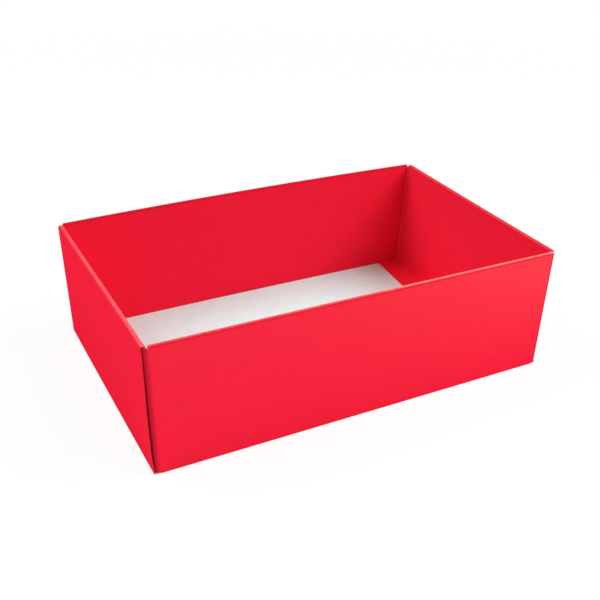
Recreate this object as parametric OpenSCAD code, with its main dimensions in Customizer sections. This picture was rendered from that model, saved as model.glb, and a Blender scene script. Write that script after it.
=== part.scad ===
// Open tray of a two-piece sweets carton, folded from one die-cut sheet of coated board.
// The sheet lies with its printed face down and its plain face up before it is folded.
// Each long wall is turned over at the rim into a second, inner wall.
// Each end wall is rolled over a narrow flat rim, comes down inside the tray and ends in
// a flap that lies on the floor. The ears of the long walls are trapped inside the end walls.

/* [Tray] */
// Length of a long wall at the floor, between its two corner faces
tray_length = 229; // [120:1:340]
// Width of the tray over both long walls
tray_width = 145; // [90:1:240]
// Height of the tray from the table to the rims
tray_height = 70.5; // [30:0.5:120]

/* [Board] */
// Thickness of the board
board = 0.55; // [0.35:0.05:0.9]
// Clear space between two layers that lie side by side
layer_gap = 0.2; // [0.1:0.05:0.5]
// Inside radius of the creases round the floor
floor_crease = 0.3; // [0.2:0.05:0.8]
// Inside radius of the upright corner bends
corner_crease = 1.5; // [0.6:0.1:2.5]

/* [End walls] */
// Outward lean of the end walls from upright, in degrees
end_lean = 1.5; // [0.5:0.25:5]
// Width of the flat rim on top of an end wall, over its two bends
end_rim = 2.6; // [2.5:0.1:6]
// Inside radius of the two bends of an end rim
rim_crease = 0.3; // [0.2:0.05:0.35]
// Distance of an end wall's cut edge behind the face of the long wall
end_inset = 1; // [0.5:0.1:3]
// Clear space between an inner end wall and the long walls beside it
end_side_gap = 0.3; // [0.2:0.05:1]
// Inside radius of the soft bend at the foot of an inner end wall
foot_crease = 0.8; // [0.3:0.1:2]
// Reach of the flap on the floor at its middle, measured from the inner end wall
flap_reach = 19.7; // [12:0.1:40]
// How far the flap's free edge falls back towards its corners
flap_drop = 4.5; // [1:0.1:8]
// Length of the sloping stretch of the free edge at each corner
flap_slope = 40; // [10:1:40]

/* [Ears] */
// Length of an ear along the end wall
ear_length = 46; // [12:1:60]
// Drop of the top edge of an ear from its root to its tip
ear_top_drop = 5; // [0:0.5:10]
// Rise of the bottom edge of an ear from its root to its tip
ear_foot_rise = 2; // [0:0.5:6]
// Size of the cut-off free corners of an ear
ear_chamfer = 3; // [0.5:0.5:5]
// Height of the bottom edge of an ear above the bend at the floor
ear_foot = 0.55; // [0.2:0.05:3]
// Clear space between an ear and the outer end wall at the floor
ear_gap = 0.6; // [0.1:0.05:1.5]
// Depth of the notch between the rim and the top of an ear
notch_depth = 2.2; // [1.5:0.1:6]
// Distance of the end of a long rim from the outer face of the corner
rim_setback = 1.2; // [1:0.1:3]
// Distance of a long wall's cut edge from the corner crease, above and below the ear
cut_setback = 0.1; // [0.05:0.05:0.2]

/* [Hidden] */
$fn = 64;
printed = [0.93, 0.14, 0.22];
right_angle = 90;

// Reach of the tongues inside the board to either side of the line where a flat meets a bend
tongue_reach = 0.05;

// Nearest angle whose cosine has six decimals, so that a turned panel meets its bend exactly
function exact_turn(angle) = acos(round(cos(angle) * 1e6) / 1e6);

// Outer radii of the bends
floor_round = board + floor_crease;
corner_round = board + corner_crease;
rim_round = board + rim_crease;
long_rim_crease = layer_gap / 2;
long_rim_round = board + long_rim_crease;

// Lean of the inner end wall, from its foot beside the ear to the inside edge of the rim
outer_lean = exact_turn(end_lean);
end_face_foot = tray_length / 2 + ear_gap + board / cos(outer_lean);
end_face_rim = end_face_foot + tray_height * tan(outer_lean);
inner_face_foot = tray_length / 2 - 2 * board - layer_gap;
inner_face_rim = end_face_rim - end_rim;
inner_lean = exact_turn(atan((inner_face_rim - inner_face_foot) / tray_height));

// The ears stand half way between the outer and the inner end wall
ear_lean = exact_turn((outer_lean + inner_lean) / 2);

// Long walls
long_crease_y = tray_width / 2 - floor_round;
long_half_foot = tray_length / 2 - corner_round;
long_outer_height = tray_height - floor_round - long_rim_round;
long_inner_height = tray_height - long_rim_round - board - layer_gap;
long_half_rim = tray_length / 2 + tray_height * tan(ear_lean) - rim_setback;
long_cut_foot = long_half_foot - cut_setback;

// The inner long wall runs into the corner as far as the upright bend leaves room for it
corner_reach = sqrt(layer_gap * (2 * corner_crease - layer_gap));
long_inner_foot = long_half_foot + corner_reach - layer_gap;

// End walls
lean_shift = (1 - sin(outer_lean)) * tan(outer_lean);
end_crease_x = end_face_foot - floor_round * (cos(outer_lean) - lean_shift);
end_outer_height = (tray_height - board - rim_round - floor_crease
    - (rim_crease - floor_crease) * sin(outer_lean)) / cos(outer_lean);
end_half_outer = tray_width / 2 - end_inset;
end_half_inner = tray_width / 2 - 2 * board - layer_gap - end_side_gap;
rim_flat = end_rim - rim_round * (1 + cos(outer_lean) - lean_shift);
flap_underside = board + layer_gap;
foot_centre = flap_underside + board + foot_crease;
end_inner_height = (tray_height - rim_round - foot_centre
    + (foot_crease + board + rim_crease) * sin(inner_lean)) / cos(inner_lean);

// Ears; each one's sheet starts on a strip of the long wall itself
ear_top = long_outer_height + long_rim_round - notch_depth;
ear_root = (ear_top - ear_foot) / cos(ear_lean);
root_strip = 2;

// Flat piece of board with its printed face at z = 0, from an outline
module sheet(outline) {
    linear_extrude(height = board) polygon(outline);
}

// Straight-sided panel that starts at y = 0 and is half_near wide there and half_far at its end
module panel(half_near, half_far, reach) {
    sheet([[-half_near, 0], [half_near, 0], [half_far, reach], [-half_far, reach]]);
}

// The bend itself, a sector of a tube of board round an axis along X
module bend(half_width, angle, crease) {
    rotate([0, right_angle, 0])
        translate([0, 0, -half_width])
            rotate_extrude(angle = angle)
                translate([crease, 0]) square([board, 2 * half_width]);
}

// Thin tongue in the middle of the board, which carries a flat into the bend it meets at y = 0
module tongue(half_width) {
    translate([board - half_width, -tongue_reach, board / 4])
        cube([2 * (half_width - board), 2 * tongue_reach, board / 2]);
}

// Bend towards the plain face at y = 0, with whatever follows it
module fold_up(half_width, angle, crease) {
    tongue(half_width);
    translate([0, 0, board + crease]) {
        bend(half_width, angle, crease);
        rotate([angle, 0, 0]) translate([0, 0, -board - crease]) {
            tongue(half_width);
            children();
        }
    }
}

// Bend towards the printed face at y = 0, with whatever follows it
module fold_down(half_width, angle, crease) {
    tongue(half_width);
    translate([0, 0, -crease]) {
        mirror([0, 0, 1]) bend(half_width, angle, crease);
        rotate([-angle, 0, 0]) translate([0, 0, crease]) {
            tongue(half_width);
            children();
        }
    }
}

// Ear, from its root at y = 0 to its cut-off tip
module ear() {
    half_root = ear_root / 2;
    top_tip = half_root - ear_top_drop;
    foot_tip = -half_root + ear_foot_rise;
    chamfer_start = ear_length - ear_chamfer;
    sheet([
        [-half_root, 0], [half_root, 0],
        [top_tip, chamfer_start], [top_tip - ear_chamfer, ear_length],
        [foot_tip + ear_chamfer, ear_length], [foot_tip, chamfer_start]
    ]);
}

// Ear on the upright crease at the +X end of a long wall, with the strip of wall beside it
module corner_ear() {
    translate([long_half_foot, 0, 0])
        rotate([0, 0, -right_angle - ear_lean])
            translate([-ear_foot - ear_root / 2, 0, 0]) {
                translate([0, -root_strip, 0]) panel(ear_root / 2, ear_root / 2, root_strip);
                fold_up(ear_root / 2, right_angle, corner_crease) ear();
            }
}

// Outer panel of a long wall; above the ears it runs out past the creases to the rim's ends
module long_outer_panel() {
    tab_foot = ear_top + cut_setback;
    cut_top = long_cut_foot + tab_foot * tan(ear_lean);
    sheet([
        [-long_cut_foot, 0], [long_cut_foot, 0], [cut_top, tab_foot],
        [long_half_rim, tab_foot], [long_half_rim, long_outer_height],
        [-long_half_rim, long_outer_height], [-long_half_rim, tab_foot],
        [-cut_top, tab_foot]
    ]);
}

// Long wall with its two ears, turned over at the rim and down to the floor
module long_wall() {
    fold_up(long_cut_foot, right_angle, floor_crease) {
        long_outer_panel();
        for (side = [0, 1]) mirror([side, 0, 0]) corner_ear();
        translate([0, long_outer_height, 0])
            fold_up(long_half_rim, 2 * right_angle, long_rim_crease)
                panel(long_half_rim, long_inner_foot, long_inner_height);
    }
}

// Flap on the floor, whose free edge slopes back at both ends so that it slides in easily
module floor_flap() {
    reach = flap_reach - foot_crease;
    sheet([
        [-end_half_inner, 0], [end_half_inner, 0],
        [end_half_inner, reach - flap_drop], [end_half_inner - flap_slope, reach],
        [-end_half_inner + flap_slope, reach], [-end_half_inner, reach - flap_drop]
    ]);
}

// End wall: outer panel, flat rim, inner panel and floor flap
module end_wall() {
    shoulder = end_outer_height - (end_half_outer - end_half_inner);
    fold_up(end_half_outer, right_angle - outer_lean, floor_crease) {
        sheet([
            [-end_half_outer, 0], [end_half_outer, 0],
            [end_half_outer, shoulder], [end_half_inner, end_outer_height],
            [-end_half_inner, end_outer_height], [-end_half_outer, shoulder]
        ]);
        translate([0, end_outer_height, 0])
            fold_up(end_half_inner, right_angle + outer_lean, rim_crease) {
                panel(end_half_inner, end_half_inner, rim_flat);
                translate([0, rim_flat, 0])
                    fold_up(end_half_inner, right_angle - inner_lean, rim_crease) {
                        panel(end_half_inner, end_half_inner, end_inner_height);
                        translate([0, end_inner_height, 0])
                            fold_down(end_half_inner, right_angle - inner_lean, foot_crease)
                                floor_flap();
                    }
            }
    }
}

// Floor, with its corners cut back clear of the upright bends
module floor_panel() {
    sheet([
        [end_crease_x, end_half_outer], [long_cut_foot, long_crease_y],
        [-long_cut_foot, long_crease_y], [-end_crease_x, end_half_outer],
        [-end_crease_x, -end_half_outer], [-long_cut_foot, -long_crease_y],
        [long_cut_foot, -long_crease_y], [end_crease_x, -end_half_outer]
    ]);
}

module tray() {
    color(printed) {
        floor_panel();
        for (turn = [0, 1]) rotate([0, 0, turn * 2 * right_angle]) {
            translate([0, long_crease_y, 0]) long_wall();
            translate([end_crease_x, 0, 0]) rotate([0, 0, -right_angle]) end_wall();
        }
    }
}

tray();
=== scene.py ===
import math

import bpy
import numpy as np
from mathutils import Matrix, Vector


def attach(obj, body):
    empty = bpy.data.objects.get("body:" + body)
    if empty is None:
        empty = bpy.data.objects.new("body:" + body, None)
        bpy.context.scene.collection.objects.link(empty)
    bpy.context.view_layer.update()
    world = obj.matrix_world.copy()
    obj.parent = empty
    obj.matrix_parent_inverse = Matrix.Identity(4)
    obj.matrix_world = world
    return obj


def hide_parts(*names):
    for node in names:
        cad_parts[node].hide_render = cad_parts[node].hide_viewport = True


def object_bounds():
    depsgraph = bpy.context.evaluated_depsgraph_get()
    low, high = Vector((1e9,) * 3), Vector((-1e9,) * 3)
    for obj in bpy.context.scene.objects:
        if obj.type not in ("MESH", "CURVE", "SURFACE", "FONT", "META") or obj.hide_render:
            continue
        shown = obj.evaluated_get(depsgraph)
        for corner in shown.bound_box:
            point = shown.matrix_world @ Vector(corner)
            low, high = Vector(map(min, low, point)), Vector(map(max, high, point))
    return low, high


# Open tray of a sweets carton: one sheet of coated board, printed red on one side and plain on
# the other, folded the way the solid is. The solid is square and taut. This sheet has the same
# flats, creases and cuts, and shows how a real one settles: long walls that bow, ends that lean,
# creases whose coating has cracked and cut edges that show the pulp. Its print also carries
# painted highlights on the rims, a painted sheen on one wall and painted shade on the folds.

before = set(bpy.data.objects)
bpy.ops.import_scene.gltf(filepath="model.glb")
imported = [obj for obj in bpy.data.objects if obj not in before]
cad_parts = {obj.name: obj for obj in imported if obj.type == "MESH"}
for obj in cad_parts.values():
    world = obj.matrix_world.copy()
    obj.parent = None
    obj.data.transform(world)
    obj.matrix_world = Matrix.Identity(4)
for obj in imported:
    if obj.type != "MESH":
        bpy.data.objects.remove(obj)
cad_low, cad_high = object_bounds()

# Units
MM = 0.001
RIGHT_ANGLE = 90.0

# The board and its creases, in millimetres
BOARD = 0.55
LAYER_GAP = 0.2
FLOOR_CREASE = 0.3
CORNER_CREASE = 1.75
RIM_CREASE = 0.3
FOOT_CREASE = 0.8

# Walls, in millimetres, with the ends' lean in radians. The height, the half width and the place
# of the ends' faces at the rim come from the solid's box
WALL_LENGTH = 229.0
END_LEAN = math.radians(1.5)
END_RIM = 2.45
END_INSET = 1.0
END_SIDE_GAP = 0.1
FLAP_REACH = 19.0
FLAP_DROP = 3.5
FLAP_SLOPE = 40.0
HEIGHT = cad_high.z / MM
HALF_WIDTH = cad_high.y / MM
END_FACE = cad_high.x / MM

# Ears, in millimetres
EAR_LENGTH = 46.0
EAR_TOP_DROP = 5.0
EAR_FOOT_RISE = 2.0
EAR_CHAMFER = 3.0
EAR_FOOT = 0.1
EAR_GAP = 0.6
NOTCH_DEPTH = 1.65
RIM_SETBACK = 1.5

# Distance along an ear over which it passes from its own wall's set to the end wall's. The bend
# before it doesn't lean with the end wall, so at the back corners the inner end panel runs into
# the bend and the root of the ear, a little at the foot and more and more towards the rim
EAR_FREE = 10.0

# Bead of a long rim, in degrees and millimetres: the board springs out a little below the fold, on
# both sides of it
BEAD_TURN = 11.0
BEAD_FLAT = 0.6
BEAD_CREASE = 0.3

# How far an inner long wall runs on into the corner bends, in millimetres, behind the edges of the
# inner end walls, so that the corners look closed: at its foot and, from a taper below the bead on,
# at its rim
INNER_RUN_FOOT = 0.4
INNER_RUN_RIM = 0.7
INNER_TAPER = 1.0

# Rise of an ear's top edge and drop of its bottom edge round the corner bend, in millimetres
EAR_SHOULDER = 1.0
EAR_HEEL = 0.35

# How far this tray has settled from square, outwards in millimetres, at the foot and at the rim of
# each wall: at its left or near end, at its right or far end and, on top of that, half way along
FRONT_FOOT = (0.95, 0.62, 0.05)
FRONT_RIM = (-1.3, -0.45, -0.2)
BACK_FOOT = (0.25, 1.12, 1.0)
BACK_RIM = (-1.25, 1.0, 2.7)
LEFT_FOOT = (-0.5, -0.62, 0.1)
LEFT_RIM = (-0.58, 0.17, 0.06)
RIGHT_FOOT = (-0.15, 0.0, 0.0)
RIGHT_RIM = (-0.9, 0.55, -0.4)

# How much further right the front wall's right end stands at its rim than at its foot
FRONT_SPLAY = 0.3

# Near edges of the outer end panels, in millimetres: how far each stands off from the ear behind
# it, half way up, and how far it is drawn back from the front wall, or below 0 runs on towards its
# face. The stand-off falls off along the panel, near the floor and towards the rim, where a share
# of it is kept
LEFT_SPRING = 0.8
RIGHT_SPRING = 0.0
LEFT_DRAWN = -0.6
RIGHT_DRAWN = 1.6
SPRING_FADE = 18.0
SPRING_FOOT = 12.0
SPRING_TOP = 45.0
SPRING_KEPT_AT_RIM = 0.35

# Height below an end's rim over which the roll narrows to the inner panel
ROLL_TAPER = 0.7

# Marks of the four walls. A pair on a long wall is for its first and its second end: from left to
# right on the front wall, and from right to left on the back wall, both seen from the front.
# worn: how rubbed the rim is and how bright the painted highlight on it is. On a long wall it
# passes from the first end's to the second's half way
# tip: how much more rubbing and painted highlight a long rim's tab has at its second end, as a share
# of that
# rim_shade: how dark the painted shade is at the rim's outer fold
# faded: how strong the painted sheen is at the top of a long wall's second end, where light falls on
# it
# tabs: how much further a long rim runs at its ends, in millimetres, or below 0 how much less far
# corner: how dark the painted shade is on the corner bends beside an end wall, where 1 and more is
# full
# reach: how much further than its inner panel an end's rim runs at its near and its far end, in
# millimetres, or below 0 how much less far
FRONT_MARKS = {"worn": (0.2, 0.45), "rim_shade": 0.0, "faded": 1.0, "tabs": (-0.7, 0.0), "tip": 1.5}
BACK_MARKS = {"worn": (0.05, 0.05), "rim_shade": 0.5, "faded": 0.0, "tabs": (0.0, 0.7), "tip": 0.0}
LEFT_MARKS = {"worn": 1.0, "rim_shade": 0.0, "corner": 0.15, "reach": (0.3, -1.3)}
RIGHT_MARKS = {"worn": 0.25, "rim_shade": 0.85, "corner": 3.0, "reach": (-0.4, -1.0)}

# Where a long rim's rubbing and painted highlight pass from its first end's to its second's: the
# share of its length at which that starts, and the share over which it goes on
WEAR_SHEEN_TURNS_AT = 0.35
WEAR_SHEEN_TURNS_OVER = 0.3

# Painted sheen of a long wall, a lighter salmon red where light falls on the top of its second end:
# the power of the height that it grows with, and the share of it that shows at the wall's first end
SHEEN_POWER = 1.3
SHEEN_AT_FIRST_END = 0.15

# Painted highlight on the flat of an end rim, rubbing and painted highlight on its inner fold, and
# rubbing of the folds at the floor
RIM_SHEEN = 0.17
INNER_FOLD_WEAR_SHEEN = 0.3
FOOT_WEAR = 0.04

# Width of the pale strip at the edges of an inner end wall, in millimetres, and how pale the edge is
# near the floor, as a share of the rubbing and painted highlight mark
EDGE_STRIP = 0.9
EDGE_PALENESS = 0.4

# Painted shade on a long rim's bead, a darker red along the groove under its fold
BEAD_SHADE = 0.3

# Mesh: the size of a cell, the narrow cell at either end of a flat and the grid on which points
# are welded, in millimetres, the largest step round a crease, in degrees, and the angle between
# faces from which their edge is sharp, in radians
CELL = 4.5
GUARD = 0.15
WELD = 0.001
CREASE_STEP = 12.0
SHARP_ANGLE = math.radians(30)
UP = np.array([0.0, 0.0, 1.0])
MARKS = ("worn", "bent", "bare", "faded")

# Stages of a long wall, counted in moves from its foot: its ears stand between the first two, and
# the fold over its rim is done at the third
EAR_STARTS, EAR_ENDS, FOLD_DONE = 2, 3, 7


def flat(length):
    """A move straight along the sheet, in millimetres."""
    return ("flat", length, 0.0)


def crease(angle, radius):
    """A move round a crease, by its inside radius and angle: degrees, above 0 to the plain face."""
    return ("crease", angle, radius)


def plain_normal(heading):
    """Unit normals that point to the plain face of a sheet that runs along these headings."""
    return np.stack([-np.sin(heading), np.cos(heading)], axis=-1)


def track(start, moves):
    """Follows the printed face of a strip over its flats and creases, in an upright plane.

    A flat goes straight on, in even cells with a narrow one at either end, which keeps the soft
    shading of a crease off the flat. A crease turns round a centre on the plain side, at its
    inside radius plus the board, or for a negative angle on the printed side, at its inside radius.
    Returns the points, the normals to the plain face, and the stage of each point: the number
    of moves done, with the part done of the one that it is in.
    """
    points, normals, stages = [np.array([start], float)], [], []
    heading = 0.0
    for number, (kind, amount, radius) in enumerate(moves):
        at = points[-1][-1]
        if kind == "flat":
            guard = min(GUARD, amount / 3)
            cells = max(1, round((amount - 2 * guard) / CELL))
            middle = np.linspace(guard, amount - guard, cells + 1)
            steps = np.concatenate([[0.0], middle, [amount]])
            done = steps / amount
            headings = np.full(len(steps), heading)
            found = at + steps[:, None] * np.array([math.cos(heading), math.sin(heading)])
        else:
            done = np.linspace(0, 1, math.ceil(abs(amount) / CREASE_STEP) + 1)
            headings = heading + done * math.radians(amount)
            side = radius + BOARD if amount > 0 else -radius
            found = at + side * (plain_normal(heading) - plain_normal(headings))
            heading = headings[-1]
        first = 1 if number else 0
        points.append(found[1:])
        normals.append(plain_normal(headings)[first:])
        stages.append(number + done[first:])
    return np.concatenate(points), np.concatenate(normals), np.concatenate(stages)


def by_stage(stages, values):
    """A value that changes evenly within each move, from its values at the moves' ends."""
    return np.interp(stages, np.arange(len(values)), values)


def on_creases(stages, moves, amounts):
    """A mark within moves: each one's amount at its middle, falling as a squared sine to its ends."""
    number = np.minimum(np.floor(stages).astype(int), len(moves) - 1)
    return np.array(amounts)[number] * np.sin(np.pi * (stages - number)) ** 2


def smooth(share):
    """Rises from 0 to 1 with level ends."""
    held = np.clip(share, 0, 1)
    return held * held * (3 - 2 * held)


def along_wall(share, shift):
    """Outward shift at a share of a wall's length: even from end to end, plus a bow, full half way."""
    start, end, bow = shift
    return start + (end - start) * share + bow * 4 * share * (1 - share)


def share_of(value, half):
    """Where a coordinate lies between -half and half, from 0 to 1."""
    return np.clip((value / half + 1) / 2, 0, 1)


def wall_axes(turn):
    """The directions out of the tray and along a wall, for a wall turned this many degrees from +X."""
    angle = math.radians(turn)
    out = np.array([round(math.cos(angle)), round(math.sin(angle)), 0.0])
    along = np.array([-out[1], out[0], 0.0])
    return out, along


# Places that follow from the sizes above, in millimetres
floor_round = BOARD + FLOOR_CREASE
corner_round = BOARD + CORNER_CREASE
rim_round = BOARD + RIM_CREASE
bead_turn = math.radians(BEAD_TURN)
bead_swell = BEAD_FLAT * math.sin(bead_turn) + BEAD_CREASE * (1 - math.cos(bead_turn))
bead_round = (BOARD + LAYER_GAP / 2 + bead_swell) / math.cos(bead_turn)
bead_height = (BEAD_CREASE + bead_round) * math.sin(bead_turn) + BEAD_FLAT * math.cos(bead_turn)
bead_height += bead_round

end_face_foot = WALL_LENGTH / 2 + EAR_GAP + BOARD / math.cos(END_LEAN)
inner_face_foot = WALL_LENGTH / 2 - 2 * BOARD - LAYER_GAP
inner_face_rim = end_face_foot + HEIGHT * math.tan(END_LEAN) - END_RIM
inner_lean = math.atan((inner_face_rim - inner_face_foot) / HEIGHT)
ear_lean = (END_LEAN + inner_lean) / 2

end_outer_height = (HEIGHT - 2 * floor_round) / math.cos(END_LEAN)
end_crease_x = END_FACE - rim_round - end_outer_height * math.sin(END_LEAN)
end_half_outer = HALF_WIDTH - END_INSET
end_half_inner = HALF_WIDTH - 2 * BOARD - LAYER_GAP - END_SIDE_GAP
end_shoulder = end_half_outer - end_half_inner
lean_shift = (1 - math.sin(END_LEAN)) * math.tan(END_LEAN)
rim_flat = END_RIM - rim_round * (1 + math.cos(END_LEAN) - lean_shift)
foot_centre = 2 * BOARD + LAYER_GAP + FOOT_CREASE
end_inner_height = HEIGHT - rim_round - foot_centre
end_inner_height += (FOOT_CREASE + BOARD + RIM_CREASE) * math.sin(inner_lean)
end_inner_height /= math.cos(inner_lean)
flap_length = FLAP_REACH - FOOT_CREASE

long_crease_y = HALF_WIDTH - floor_round
long_half_foot = WALL_LENGTH / 2 - corner_round
long_outer_height = HEIGHT - floor_round - bead_height
long_inner_height = HEIGHT - bead_height - BOARD - LAYER_GAP
long_half_rim = WALL_LENGTH / 2 + HEIGHT * math.tan(ear_lean) - RIM_SETBACK
corner_reach = math.sqrt(LAYER_GAP * (2 * CORNER_CREASE - LAYER_GAP))
long_half_inner = long_half_foot + corner_reach
ear_top = HEIGHT - floor_round - NOTCH_DEPTH
ear_half_top = long_half_foot + ear_top * math.tan(ear_lean)
rim_tab = long_half_rim - ear_half_top


def between(share, first, second):
    """The first value at share 0, the second at share 1 and an even mix between."""
    return first + (second - first) * share


def settled(place):
    """Shift of each point of the sheet as the tray has settled, as vectors.

    Across the tray it passes evenly from the front wall's shift to the back wall's, which each
    pass evenly from their foot's to their rim's. Along the tray it passes evenly from the shift
    of the left wall's foot to that of the right wall's, plus the splay of the front wall's end.
    """
    x, y, z = np.moveaxis(place, -1, 0)
    along, across, height = share_of(x, long_half_rim), share_of(y, HALF_WIDTH), z / HEIGHT
    front = between(height, along_wall(along, FRONT_FOOT), along_wall(along, FRONT_RIM))
    back = between(height, along_wall(along, BACK_FOOT), along_wall(along, BACK_RIM))
    left, right = along_wall(across, LEFT_FOOT), along_wall(across, RIGHT_FOOT)
    splay = FRONT_SPLAY * along * (1 - across) * height
    shift_x = between(along, -left, right) + splay
    shift_y = between(across, -front, back)
    return np.stack([shift_x, shift_y, 0 * z], axis=-1)


def leaning(place, end):
    """Further shift of an end wall out of the tray: evenly from 0 at its foot to all at its rim."""
    across = share_of(place[..., 1], HALF_WIDTH)
    lean = along_wall(across, end["rim"]) - along_wall(across, end["foot"])
    return (lean * place[..., 2] / HEIGHT)[..., None] * wall_axes(end["turn"])[0]


def springing(place, end):
    """Stand-off of an outer end panel near its near edge.

    It falls off along the panel as an exponential, rises from the floor with level ends and falls
    again towards the rim to the share that is left there.
    """
    from_edge = place[..., 1] + HALF_WIDTH
    below_rim = smooth((HEIGHT - place[..., 2]) / SPRING_TOP)
    height = smooth(place[..., 2] / SPRING_FOOT) * between(below_rim, SPRING_KEPT_AT_RIM, 1.0)
    off = end["spring"] * np.exp(-from_edge / SPRING_FADE) * height
    return off[..., None] * wall_axes(end["turn"])[0]


def patch(printed, normal, lean=0.0, keep=None, **marks):
    """One part of the sheet, as a grid of points on its printed face.

    With them go the normals to the plain face, the shift of each point, the cells that are kept
    and the marks: how much a fold is rubbed and lit by painted highlight, how dark the painted
    shade on it is, how bare of ink a cut edge is and how strong the painted sheen on the print is.
    """
    rows, columns = printed.shape[:2]
    made = {mark: np.broadcast_to(marks.get(mark, 0.0), (rows, columns)) for mark in MARKS}
    made["printed"] = printed
    made["normal"] = np.broadcast_to(normal, printed.shape)
    made["shift"] = settled(printed) + lean
    made["keep"] = np.ones((rows - 1, columns - 1), bool) if keep is None else keep
    return made


def swept(points, normals, across, out, along):
    """Carries a track along its wall: each row is one point of it, spread over its own width."""
    place = points[:, None, :1] * out + points[:, None, 1:] * UP + across[:, :, None] * along
    normal = normals[:, None, :1] * out + normals[:, None, 1:] * UP
    return place, normal


# Shares of a wall's half width at which the mesh has its columns. An end wall has one more beside
# each edge, for the worn strip
long_shares = np.linspace(-1, 1, 2 * round(long_half_foot / CELL) + 1)
end_shares = np.linspace(-1, 1, 2 * round(end_half_outer / CELL) + 1)
edge_share = 1 - EDGE_STRIP / end_half_outer
end_shares = np.concatenate([[-1, -edge_share], end_shares[1:-1], [edge_share, 1]])


def end_wall(end):
    """Outer panel, flat rim, inner panel and floor flap of an end, as one strip of the sheet.

    The track is carried along the wall, and each of its rows is spread over its own half width.
    That width is less what the near edge is drawn back, plus the reach of the rim, each times a
    share that grows evenly from the wall's middle to the edge.
    """
    out, along = wall_axes(end["turn"])
    moves = [
        crease(RIGHT_ANGLE - math.degrees(END_LEAN), FLOOR_CREASE),
        flat(end_outer_height - end_shoulder),
        flat(end_shoulder),
        crease(RIGHT_ANGLE + math.degrees(END_LEAN), RIM_CREASE),
        flat(rim_flat),
        crease(RIGHT_ANGLE - math.degrees(inner_lean), RIM_CREASE),
        flat(ROLL_TAPER),
        flat(end_inner_height - ROLL_TAPER),
        crease(math.degrees(inner_lean) - RIGHT_ANGLE, FOOT_CREASE),
        flat(flap_length - FLAP_DROP),
        flat(FLAP_DROP),
    ]
    points, normals, stages = track((end_crease_x, 0.0), moves)
    marks = end["marks"]
    # Rubbing of the folds, and painted highlight on the rim's flat and inner fold
    worn = on_creases(stages, moves, [FOOT_WEAR, 0, 0, 0, 0, INNER_FOLD_WEAR_SHEEN, 0, 0, 0, 0, 0])
    worn = worn + RIM_SHEEN * by_stage(stages, [0, 0, 0, 0, 1, 1, 0, 0, 0, 0, 0, 0]) ** 2
    # Painted shade along the rim's outer fold
    bent = marks["rim_shade"] * by_stage(stages, [0, 0, 0, 1, 1, 0.3, 0, 0, 0, 0, 0, 0])
    bare = [0.1, 0.1, 0.1, 0.1, 0.3, 0.3, 0.3, 0, 0, 0.1, 1, 1]
    edge = by_stage(stages, [0] * 7 + [0, 1, 0, 0, 0])
    halves = [end_half_outer] * 3 + [end_half_inner] * 8 + [end_half_inner - FLAP_SLOPE]
    drawn = by_stage(stages, [0, 1, 1] + [0] * 9) * end["drawn"]
    roll = by_stage(stages, [0, 0, 0, 1, 1, 1, 1, 0, 0, 0, 0, 0])
    near, far = (np.clip(side * along[1] * end_shares, 0, 1) for side in (-1, 1))
    across = by_stage(stages, halves)[:, None] - drawn[:, None] * near
    across = across + roll[:, None] * (marks["reach"][0] * near + marks["reach"][1] * far)
    across = across * end_shares
    place, normal = swept(points, normals, across, out, along)
    outer = by_stage(stages, [1] * 5 + [0] * 7)[:, None, None]
    at_edge = np.abs(end_shares) == 1
    # The pale strip at an inner panel's edges is added to the rubbing and painted highlight
    return patch(place, normal, leaning(place, end) + springing(place, end) * outer,
                 worn=marks["worn"] * worn[:, None] + EDGE_PALENESS * edge[:, None] * at_edge,
                 bent=bent[:, None], bare=by_stage(stages, bare)[:, None])


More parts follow.
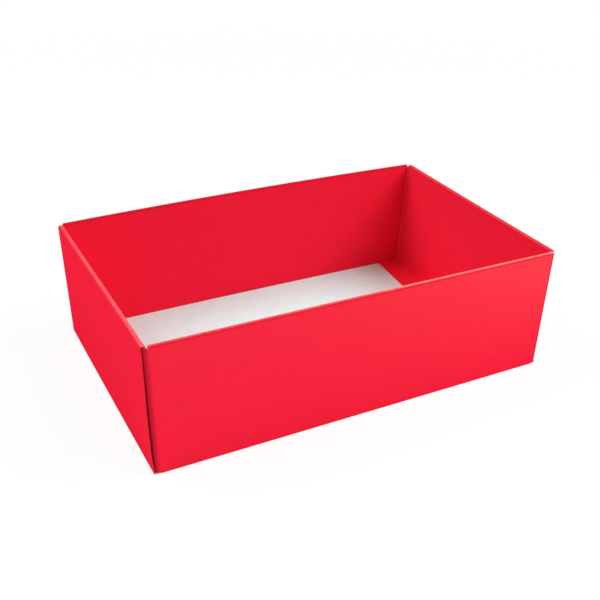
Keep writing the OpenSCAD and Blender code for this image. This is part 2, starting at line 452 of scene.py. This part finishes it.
def long_wall(turn, ends, marks):
    """Long wall turned over at its rim, with its two ears; ends are the end walls beside it.

    The track is carried along the wall, and each of its rows is spread over its own half width. A
    column at either end is the rim's tab, which is cut away beside and below the ears.
    """
    out, along = wall_axes(turn)
    moves = [
        crease(RIGHT_ANGLE, FLOOR_CREASE),
        flat(EAR_FOOT),
        flat(ear_top - EAR_FOOT),
        flat(long_outer_height - ear_top),
        crease(-BEAD_TURN, BEAD_CREASE),
        flat(BEAD_FLAT),
        crease(2 * (RIGHT_ANGLE + BEAD_TURN), bead_round - BOARD),
        flat(BEAD_FLAT),
        crease(-BEAD_TURN, BEAD_CREASE),
        flat(INNER_TAPER),
        flat(long_inner_height - INNER_TAPER),
    ]
    points, normals, stages = track((long_crease_y, 0.0), moves)
    # Rubbing and painted highlight on the rim's fold, and a little rubbing at the floor fold
    worn = on_creases(stages, moves, [FOOT_WEAR, 0, 0, 0, 0, 0, 1, 0, 0, 0, 0])
    # Painted shade on the rim's fold and on its bead
    bent = on_creases(stages, moves, [0, 0, 0, 0, 0, 0, marks["rim_shade"], 0, 0, 0, 0])
    bent = bent + BEAD_SHADE * by_stage(stages, [0, 0, 0, 0, 0, 1, 1, 1, 0, 0, 0, 0])
    bare = [0.3, 0.3, 0.3, 0.8, 0.8, 0.8, 0.8, 0.8, 0.5, 0.1, 0.1, 0.1]
    ear_half_foot = long_half_foot + EAR_FOOT * math.tan(ear_lean)
    inner_half_rim = ear_half_top + INNER_RUN_RIM
    inner_half_foot = long_half_inner - rim_tab + INNER_RUN_FOOT
    halves = [long_half_foot] * 2 + [ear_half_foot] + [ear_half_top] * 7
    half = by_stage(stages, halves + [inner_half_rim, inner_half_foot])
    at_rim = by_stage(stages, [0] * 3 + [1] * 7 + [0, 0])
    tabs = [(half + rim_tab + at_rim * longer)[:, None] for longer in marks["tabs"]]
    across = np.concatenate([-tabs[0], half[:, None] * long_shares, tabs[1]], axis=1)
    share = share_of(across, long_half_foot)
    # The rubbing and painted highlight pass along the rim from the first end's amount to the second's
    rim_wear_sheen = between(smooth((share - WEAR_SHEEN_TURNS_AT) / WEAR_SHEEN_TURNS_OVER), *marks["worn"])
    rim_wear_sheen[:, -2:] *= 1 + marks["tip"]
    place, normal = swept(points, normals, across, out, along)
    # Painted sheen: a lighter red towards the top of the wall's second end, where light falls on it
    faded = (place[..., 2] / HEIGHT) ** SHEEN_POWER * between(share ** 2, SHEEN_AT_FIRST_END, 1.0)
    faded = faded * marks["faded"] * (stages <= FOLD_DONE)[:, None]
    keep = np.ones((len(points) - 1, across.shape[1] - 1), bool)
    above_ear = stages[:-1] >= EAR_ENDS
    keep[~above_ear, 0] = False
    keep[~above_ear, -1] = False
    made = [patch(place, normal, keep=keep, worn=worn[:, None] * rim_wear_sheen, faded=faded,
                  bent=np.minimum(bent, 1)[:, None], bare=by_stage(stages, bare)[:, None])]
    rows = (stages >= EAR_STARTS) & (stages <= EAR_ENDS)
    for side, end in zip((-1, 1), ends):
        made.append(ear(place[rows, 1 if side < 0 else -2], out, side * along, end))
    return made


def ear(root, wall_out, wall_end, end):
    """Ear on the upright crease at one end of a long wall, from its root points to its cut tip.

    The track runs in the plane across the crease: out of the wall's end, round the corner, and
    then back along the end wall. Its two long edges draw together towards the tip.
    """
    edge = root[-1] - root[0]
    rise = edge / np.linalg.norm(edge)
    outward = np.cross(wall_out, rise)
    outward *= np.sign(outward @ wall_end)
    moves = [
        crease(RIGHT_ANGLE, CORNER_CREASE),
        flat(EAR_LENGTH - EAR_CHAMFER),
        flat(EAR_CHAMFER),
    ]
    points, normals, stages = track((0.0, 0.0), moves)
    length = np.linalg.norm(edge)
    drop_before_tip = EAR_TOP_DROP * (EAR_LENGTH - EAR_CHAMFER) / EAR_LENGTH
    rise_before_tip = EAR_FOOT_RISE * (EAR_LENGTH - EAR_CHAMFER) / EAR_LENGTH
    top = by_stage(stages, [0, -EAR_SHOULDER, drop_before_tip, EAR_TOP_DROP + EAR_CHAMFER])
    foot = by_stage(stages, [0, -EAR_HEEL, rise_before_tip, EAR_FOOT_RISE + EAR_CHAMFER])
    share = (root - root[0]) @ rise / length
    height = foot[:, None] + share * (length - top - foot)[:, None]
    inward = -wall_out
    place = root[0] + height[:, :, None] * rise
    place = place + points[:, None, :1] * outward + points[:, None, 1:] * inward
    normal = normals[:, None, :1] * outward + normals[:, None, 1:] * inward
    free = smooth(points[:, 1] / EAR_FREE)[:, None, None]
    # Painted shade on the corner bend
    bent = np.minimum(on_creases(stages, moves, [end["marks"]["corner"], 0, 0]), 1)
    bare = by_stage(stages, [0.1, 0.1, 0.3, 0.5])
    return patch(place, normal, leaning(place, end) * free, bent=bent[:, None], bare=bare[:, None])


def floor_panel():
    """The floor: a flat grid on the walls' columns, its corners cut back clear of the bends."""
    x = np.concatenate([[-end_crease_x], long_half_foot * long_shares, [end_crease_x]])
    y = np.concatenate([[-long_crease_y], end_half_outer * end_shares, [long_crease_y]])
    grid_x, grid_y = np.meshgrid(x, y, indexing="ij")
    place = np.stack([grid_x, grid_y, np.zeros_like(grid_x)], axis=-1)
    keep = np.ones((len(x) - 1, len(y) - 1), bool)
    keep[np.ix_([0, -1], [0, -1])] = False
    return patch(place, UP, keep=keep, bare=0.3)


def folded_sheet(name, patches, materials):
    """Welds the patches of one sheet where they meet and closes it.

    Printed quads face away from the plain side, plain quads lie a board's thickness behind them,
    and every edge that only one printed quad has gets a quad between the two faces: the cut edge.
    The materials are those of the printed face, the plain face and the cut edge, in this order.
    """
    printed = np.concatenate([p["printed"].reshape(-1, 3) for p in patches])
    normal = np.concatenate([p["normal"].reshape(-1, 3) for p in patches])
    shift = np.concatenate([p["shift"].reshape(-1, 3) for p in patches])
    shown = {mark: np.concatenate([p[mark].ravel() for p in patches]) for mark in MARKS}
    quads, start = [], 0
    for p in patches:
        rows, columns = p["printed"].shape[:2]
        number = start + np.arange(rows * columns).reshape(rows, columns)
        corners = [number[:-1, :-1], number[1:, :-1], number[1:, 1:], number[:-1, 1:]]
        cells = np.stack(corners, axis=-1)[p["keep"]]
        a, b, _, d = printed[cells[0]]
        if np.cross(b - a, d - a) @ normal[cells[0, 0]] > 0:
            cells = cells[:, ::-1]
        quads.append(cells)
        start += rows * columns
    quads = np.concatenate(quads)
    keys = np.round(printed / WELD).astype(np.int64)
    _, first, welded = np.unique(keys, axis=0, return_index=True, return_inverse=True)
    quads = welded.ravel()[quads]
    count = len(first)
    sides = np.concatenate([quads[:, [i, (i + 1) % 4]] for i in range(4)])
    forward = sides[:, 0] * count + sides[:, 1]
    backward = sides[:, 1] * count + sides[:, 0]
    free = sides[~np.isin(backward, forward)]
    cut = np.stack([free[:, 1], free[:, 0], free[:, 0] + count, free[:, 1] + count], axis=-1)
    faces = np.concatenate([quads, quads[:, ::-1] + count, cut])
    kind = np.repeat(range(len(materials)), [len(quads), len(quads), len(cut)])
    front = printed[first] + shift[first]
    points = np.concatenate([front, front + BOARD * normal[first]]) * MM
    used, faces = np.unique(faces, return_inverse=True)
    faces = faces.reshape(-1, 4)
    mesh = bpy.data.meshes.new(name)
    mesh.from_pydata(points[used].tolist(), [], faces.tolist())
    for material in materials:
        mesh.materials.append(material)
    mesh.polygons.foreach_set("material_index", kind.astype(np.int32))
    for mark, values in shown.items():
        both = np.tile(values[first], 2)[used].astype(np.float32)
        mesh.attributes.new(mark, "FLOAT", "POINT").data.foreach_set("value", both)
    mesh.shade_smooth()
    mesh.set_sharp_from_angle(angle=SHARP_ANGLE)
    mesh.update()
    piece = bpy.data.objects.new(name, mesh)
    bpy.context.scene.collection.objects.link(piece)
    return piece


# Sockets of a Mix node that mixes colours: its share, its two colours and, among the outputs, what
# it makes of them
SHARE, FIRST, SECOND, MIXED = 0, 6, 7, 2


def linear(hex_colour):
    """An sRGB hex colour as linear red, green, blue and alpha, by the standard curve of sRGB."""
    value = np.array([int(hex_colour[i:i + 2], 16) for i in (1, 3, 5)]) / 255
    low = value / 12.92
    high = ((value + 0.055) / 1.055) ** 2.4
    return (*np.where(value <= 0.04045, low, high).tolist(), 1.0)


def node(tree, kind, inputs=None, **settings):
    """Adds a node with its settings; an input is linked if its value is a socket, and else set."""
    made = tree.nodes.new(kind)
    for name, value in settings.items():
        setattr(made, name, value)
    for name, value in (inputs or {}).items():
        if isinstance(value, bpy.types.NodeSocket):
            tree.links.new(value, made.inputs[name])
        else:
            made.inputs[name].default_value = value
    return made


def new_material(name):
    """An empty node material with its output node."""
    material = bpy.data.materials.new(name)
    material.use_nodes = True
    material.node_tree.nodes.clear()
    return material, material.node_tree, material.node_tree.nodes.new("ShaderNodeOutputMaterial")


def per_mm(size):
    """Texture scale that gives features of about this many millimetres on Object coordinates."""
    return 1 / (size * MM)


def red_coated_board():
    """Folding board printed solid red and varnished: a strong, even red.

    The varnish's soft shine is left out, because under wide soft lights it laid a white veil over
    an end wall that the real tray doesn't show, so the roughness only counts if it is put back.
    The ink lies a little unevenly. A painted sheen, a lighter salmon red, stands in for light falling
    on the top of one wall's end. Along the folds the coat has split into fine pale flecks, which also
    stand in for the highlights on the rims, and painted shade deepens the red on the corner bends and
    along the rims' folds.
    """
    material, tree, output = new_material("varnished_red_print")
    place = node(tree, "ShaderNodeTexCoord")
    mottle = node(tree, "ShaderNodeTexNoise", {
        "Vector": place.outputs["Object"], "Scale": per_mm(16.0), "Detail": 5.0, "Roughness": 0.6,
    })
    fibre = node(tree, "ShaderNodeTexNoise", {
        "Vector": place.outputs["Object"], "Scale": per_mm(0.7), "Detail": 3.0, "Roughness": 0.6,
    })
    ink = node(tree, "ShaderNodeMix", {
        SHARE: mottle.outputs[0], FIRST: linear("#EC213C"), SECOND: linear("#F4253F"),
    }, data_type="RGBA")
    specked = node(tree, "ShaderNodeMapRange", {
        "Value": fibre.outputs[0], "From Min": 0.3, "From Max": 0.75, "To Min": 0.0, "To Max": 0.14,
    })
    printed = node(tree, "ShaderNodeMix", {
        SHARE: specked.outputs["Result"], FIRST: ink.outputs[MIXED], SECOND: linear("#DE1A34"),
    }, data_type="RGBA")
    # Painted sheen: the print is mixed to a lighter salmon red where light falls on the top of one
    # wall's end
    faded = node(tree, "ShaderNodeAttribute", attribute_name="faded")
    sheen_share = node(tree, "ShaderNodeMapRange", {
        "Value": faded.outputs["Fac"], "To Min": 0.0, "To Max": 0.25,
    })
    sheened = node(tree, "ShaderNodeMix", {
        SHARE: sheen_share.outputs["Result"], FIRST: printed.outputs[MIXED], SECOND: linear("#FF6A62"),
    }, data_type="RGBA")
    # Painted shade: a deeper red on the corner bends and along the rims' folds
    bent = node(tree, "ShaderNodeAttribute", attribute_name="bent")
    fold_shaded = node(tree, "ShaderNodeMix", {
        SHARE: bent.outputs["Fac"], FIRST: sheened.outputs[MIXED], SECOND: linear("#A4061C"),
    }, data_type="RGBA")
    # Rubbing and painted highlight: pale flecks along the folds, which also stand in for the rims'
    # highlights
    worn = node(tree, "ShaderNodeAttribute", attribute_name="worn")
    flecks = node(tree, "ShaderNodeMapRange", {
        "Value": fibre.outputs[0], "From Min": 0.35, "From Max": 0.7, "To Min": 0.35, "To Max": 1.0,
    })
    waxing = node(tree, "ShaderNodeMapRange", {
        "Value": mottle.outputs[0], "From Min": 0.35, "From Max": 0.65, "To Min": 0.7, "To Max": 1.3,
    })
    flecked = node(tree, "ShaderNodeMath", {0: worn.outputs["Fac"], 1: flecks.outputs["Result"]},
                   operation="MULTIPLY")
    cracks_and_sheen = node(tree, "ShaderNodeMath", {0: flecked.outputs[0], 1: waxing.outputs["Result"]},
                   operation="MULTIPLY")
    coat = node(tree, "ShaderNodeMix", {
        SHARE: cracks_and_sheen.outputs[0], FIRST: fold_shaded.outputs[MIXED], SECOND: linear("#FCD3C2"),
    }, data_type="RGBA")
    roughness = node(tree, "ShaderNodeMapRange", {
        "Value": mottle.outputs[0], "From Min": 0.3, "From Max": 0.7, "To Min": 0.42, "To Max": 0.5,
    })
    height = node(tree, "ShaderNodeBump", {
        "Height": fibre.outputs[0], "Strength": 0.25, "Distance": 0.03 * MM,
    })
    shader = node(tree, "ShaderNodeBsdfPrincipled", {
        "Base Color": coat.outputs[MIXED],
        "Roughness": roughness.outputs["Result"],
        "IOR": 1.45,
        "Specular IOR Level": 0.0,
        "Normal": height.outputs["Normal"],
    })
    tree.links.new(shader.outputs["BSDF"], output.inputs["Surface"])
    return material


def plain_board_back():
    """The sheet's uncoated back: matt pale pulp with fibres along the grain and soft clouds.

    It is written cooler than real board, because the walls throw red light on it, so that it shows
    as the neutral white of the real one inside the tray.
    """
    material, tree, output = new_material("uncoated_board_back")
    place = node(tree, "ShaderNodeTexCoord")
    grain = node(tree, "ShaderNodeMapping", {
        "Vector": place.outputs["Object"], "Scale": (0.2, 1.0, 0.2),
    })
    fibre = node(tree, "ShaderNodeTexNoise", {
        "Vector": grain.outputs["Vector"], "Scale": per_mm(0.6), "Detail": 4.0, "Roughness": 0.65,
    })
    cloud = node(tree, "ShaderNodeTexNoise", {
        "Vector": place.outputs["Object"], "Scale": per_mm(9.0), "Detail": 3.0, "Roughness": 0.6,
    })
    pulp = node(tree, "ShaderNodeMix", {
        SHARE: fibre.outputs[0], FIRST: linear("#C6E3E1"), SECOND: linear("#DAF4F2"),
    }, data_type="RGBA")
    clouded = node(tree, "ShaderNodeMapRange", {
        "Value": cloud.outputs[0], "From Min": 0.35, "From Max": 0.75, "To Min": 0.0, "To Max": 0.35,
    })
    shaded = node(tree, "ShaderNodeMix", {
        SHARE: clouded.outputs["Result"], FIRST: pulp.outputs[MIXED], SECOND: linear("#BDD8D5"),
    }, data_type="RGBA")
    height = node(tree, "ShaderNodeBump", {
        "Height": fibre.outputs[0], "Strength": 0.4, "Distance": 0.04 * MM,
    })
    shader = node(tree, "ShaderNodeBsdfPrincipled", {
        "Base Color": shaded.outputs[MIXED],
        "Roughness": 0.9,
        "Specular IOR Level": 0.2,
        "Normal": height.outputs["Normal"],
    })
    tree.links.new(shader.outputs["BSDF"], output.inputs["Surface"])
    return material


def cut_board_edge():
    """Raw cut edge of the board: pale matt pulp, reddened where the cutting rule dragged ink."""
    material, tree, output = new_material("cut_board_edge")
    place = node(tree, "ShaderNodeTexCoord")
    layers = node(tree, "ShaderNodeTexNoise", {
        "Vector": place.outputs["Object"], "Scale": per_mm(0.8), "Detail": 3.0, "Roughness": 0.6,
    })
    pulp = node(tree, "ShaderNodeMix", {
        SHARE: layers.outputs[0], FIRST: linear("#E2D0CB"), SECOND: linear("#F8ECE8"),
    }, data_type="RGBA")
    bare = node(tree, "ShaderNodeAttribute", attribute_name="bare")
    dragged = node(tree, "ShaderNodeMath", {0: layers.outputs[0], 1: 0.5, 2: bare.outputs["Fac"]},
                   operation="MULTIPLY_ADD")
    shown = node(tree, "ShaderNodeMapRange", {
        "Value": dragged.outputs[0], "From Min": 0.4, "From Max": 1.2, "To Min": 0.0, "To Max": 1.0,
    })
    edge = node(tree, "ShaderNodeMix", {
        SHARE: shown.outputs["Result"], FIRST: linear("#D91A31"), SECOND: pulp.outputs[MIXED],
    }, data_type="RGBA")
    height = node(tree, "ShaderNodeBump", {
        "Height": layers.outputs[0], "Strength": 0.4, "Distance": 0.04 * MM,
    })
    shader = node(tree, "ShaderNodeBsdfPrincipled", {
        "Base Color": edge.outputs[MIXED],
        "Roughness": 0.95,
        "Specular IOR Level": 0.2,
        "Normal": height.outputs["Normal"],
    })
    tree.links.new(shader.outputs["BSDF"], output.inputs["Surface"])
    return material


# The four walls, by the turn of each from +X, and how the two end walls have settled
RIGHT, BACK, LEFT, FRONT = 0, 90, 180, 270
RIGHT_END = {"turn": RIGHT, "foot": RIGHT_FOOT, "rim": RIGHT_RIM,
             "spring": RIGHT_SPRING, "drawn": RIGHT_DRAWN, "marks": RIGHT_MARKS}
LEFT_END = {"turn": LEFT, "foot": LEFT_FOOT, "rim": LEFT_RIM,
            "spring": LEFT_SPRING, "drawn": LEFT_DRAWN, "marks": LEFT_MARKS}

sheet_parts = [
    floor_panel(),
    end_wall(RIGHT_END),
    end_wall(LEFT_END),
    *long_wall(BACK, ends=(RIGHT_END, LEFT_END), marks=BACK_MARKS),
    *long_wall(FRONT, ends=(LEFT_END, RIGHT_END), marks=FRONT_MARKS),
]
board_faces = [red_coated_board(), plain_board_back(), cut_board_edge()]
tray = folded_sheet("folded_tray", sheet_parts, board_faces)
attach(tray, "root")
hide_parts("tray")

# Floor, in metres: a plain pale sheet that keeps the tray's shadow
FLOOR_DROP = 0.0002
FLOOR_HALF = 4.0

# Share of plain white in what is seen of the floor near the tray, and the distances from the
# tray's middle between which that share rises to 1, in metres
WHITE_NEAR = 0.9
WHITE_RISES_FROM = 0.3
WHITE_FULL_AT = 0.9

# Strength of the world's light on the objects, where 1 is white
WORLD_LIGHT = 0.3


def shown_rays(tree):
    """1 for a ray from the camera, a reflection or glass, and 0 for any other, as a socket."""
    path = node(tree, "ShaderNodeLightPath")
    seen = node(tree, "ShaderNodeMath", {
        0: path.outputs["Is Camera Ray"], 1: path.outputs["Is Glossy Ray"],
    }, operation="MAXIMUM")
    shown = node(tree, "ShaderNodeMath", {
        0: seen.outputs[0], 1: path.outputs["Is Transmission Ray"],
    }, operation="MAXIMUM")
    return shown.outputs[0]


def pale_floor():
    """Matt white studio sweep, whose shadow is lightened where it is seen.

    Seen directly, in a reflection or through glass it is mixed with plain white, more and more with
    the distance from the tray, and else it is plain matt white.
    """
    material, tree, output = new_material("white_studio_sweep")
    shown = shown_rays(tree)
    lit = node(tree, "ShaderNodeBsdfDiffuse", {"Color": linear("#F2F0EE")})
    white = node(tree, "ShaderNodeEmission", {"Color": linear("#FFFFFF"), "Strength": 1.0})
    place = node(tree, "ShaderNodeTexCoord")
    far = node(tree, "ShaderNodeVectorMath", {0: place.outputs["Object"]}, operation="LENGTH")
    level = node(tree, "ShaderNodeMapRange", {
        "Value": far.outputs["Value"], "From Min": WHITE_RISES_FROM, "From Max": WHITE_FULL_AT,
        "To Min": WHITE_NEAR, "To Max": 1.0,
    })
    share = node(tree, "ShaderNodeMath", {0: shown, 1: level.outputs["Result"]}, operation="MULTIPLY")
    mix = node(tree, "ShaderNodeMixShader", {"Fac": share.outputs[0]})
    tree.links.new(lit.outputs["BSDF"], mix.inputs[1])
    tree.links.new(white.outputs["Emission"], mix.inputs[2])
    tree.links.new(mix.outputs["Shader"], output.inputs["Surface"])
    return material


square = ((-1, -1), (1, -1), (1, 1), (-1, 1))
floor_corners = [(x * FLOOR_HALF, y * FLOOR_HALF, -FLOOR_DROP) for x, y in square]
floor_mesh = bpy.data.meshes.new("studio_floor")
floor_mesh.from_pydata(floor_corners, [], [(0, 1, 2, 3)])
floor_mesh.materials.append(pale_floor())
studio_floor = bpy.data.objects.new("studio_floor", floor_mesh)
bpy.context.scene.collection.objects.link(studio_floor)


def white_world():
    """Even studio light from all round, and a plain white where it is seen."""
    world = bpy.data.worlds.new("white_studio")
    world.use_nodes = True
    tree = world.node_tree
    tree.nodes.clear()
    output = tree.nodes.new("ShaderNodeOutputWorld")
    level = node(tree, "ShaderNodeMapRange", {
        "Value": shown_rays(tree), "To Min": WORLD_LIGHT, "To Max": 1.0,
    })
    background = node(tree, "ShaderNodeBackground", {
        "Color": linear("#FFFFFF"),
        "Strength": level.outputs["Result"],
    })
    tree.links.new(background.outputs["Background"], output.inputs["Surface"])
    bpy.context.scene.world = world


white_world()


def placed(right, up, back, place):
    """A matrix with these three directions as its axes, at this place."""
    matrix = np.eye(4)
    matrix[:3, 0], matrix[:3, 1], matrix[:3, 2], matrix[:3, 3] = right, up, back, place
    return Matrix(matrix.tolist())


def softbox(name, azimuth, elevation, distance, size, power):
    """A square softbox, in metres and watts, that faces the tray's middle.

    Azimuth 0 is in front of the tray and 90 to its right.
    """
    light = bpy.data.lights.new(name, "AREA")
    light.shape = "SQUARE"
    light.size = size
    light.energy = power
    a, e = math.radians(azimuth), math.radians(elevation)
    back = np.array([math.sin(a) * math.cos(e), -math.cos(a) * math.cos(e), math.sin(e)])
    side = np.array([math.cos(a), math.sin(a), 0.0])
    rise = np.cross(back, side)
    lamp = bpy.data.objects.new(name, light)
    lamp.matrix_world = placed(side, rise, back, back * distance + UP * HEIGHT * MM / 2)
    lamp.visible_camera = False
    bpy.context.scene.collection.objects.link(lamp)


softbox("key_softbox", azimuth=60, elevation=50, distance=1.3, size=0.75, power=12.9)
softbox("fill_softbox", azimuth=-120, elevation=50, distance=1.6, size=1.0, power=18.3)
softbox("front_softbox", azimuth=30, elevation=20, distance=1.6, size=1.0, power=4.8)

# Camera, at the place and turn that put the tray's corners where the photograph has them. Its
# focal length is in pixels of the photograph's width and its sensor in millimetres
CAMERA_PLACE = np.array([-210.35, -391.56, 278.95]) * MM
CAMERA_AZIMUTH = math.radians(-28.109)
CAMERA_ELEVATION = math.radians(29.167)
CAMERA_ROLL = math.radians(1.751)
FOCAL_PIXELS = 892.06
PHOTO_PIXELS = 600
SENSOR = 36.0


def photo_camera():
    """Camera that looks down its own back axis, rolled a little as the photograph is."""
    lens = bpy.data.cameras.new("photo_camera")
    lens.sensor_fit = "HORIZONTAL"
    lens.sensor_width = SENSOR
    lens.lens = FOCAL_PIXELS / PHOTO_PIXELS * SENSOR
    lens.clip_start = 0.01
    lens.clip_end = 20.0
    ca, sa = math.cos(CAMERA_AZIMUTH), math.sin(CAMERA_AZIMUTH)
    ce, se = math.cos(CAMERA_ELEVATION), math.sin(CAMERA_ELEVATION)
    back = np.array([sa * ce, -ca * ce, se])
    level = np.array([ca, sa, 0.0])
    up = np.cross(back, level)
    right = math.cos(CAMERA_ROLL) * level + math.sin(CAMERA_ROLL) * up
    rolled_up = math.cos(CAMERA_ROLL) * up - math.sin(CAMERA_ROLL) * level
    camera = bpy.data.objects.new("photo_camera", lens)
    camera.matrix_world = placed(right, rolled_up, back, CAMERA_PLACE)
    bpy.context.scene.collection.objects.link(camera)
    bpy.context.scene.camera = camera


photo_camera()
bpy.context.scene.view_settings.view_transform = "Standard"
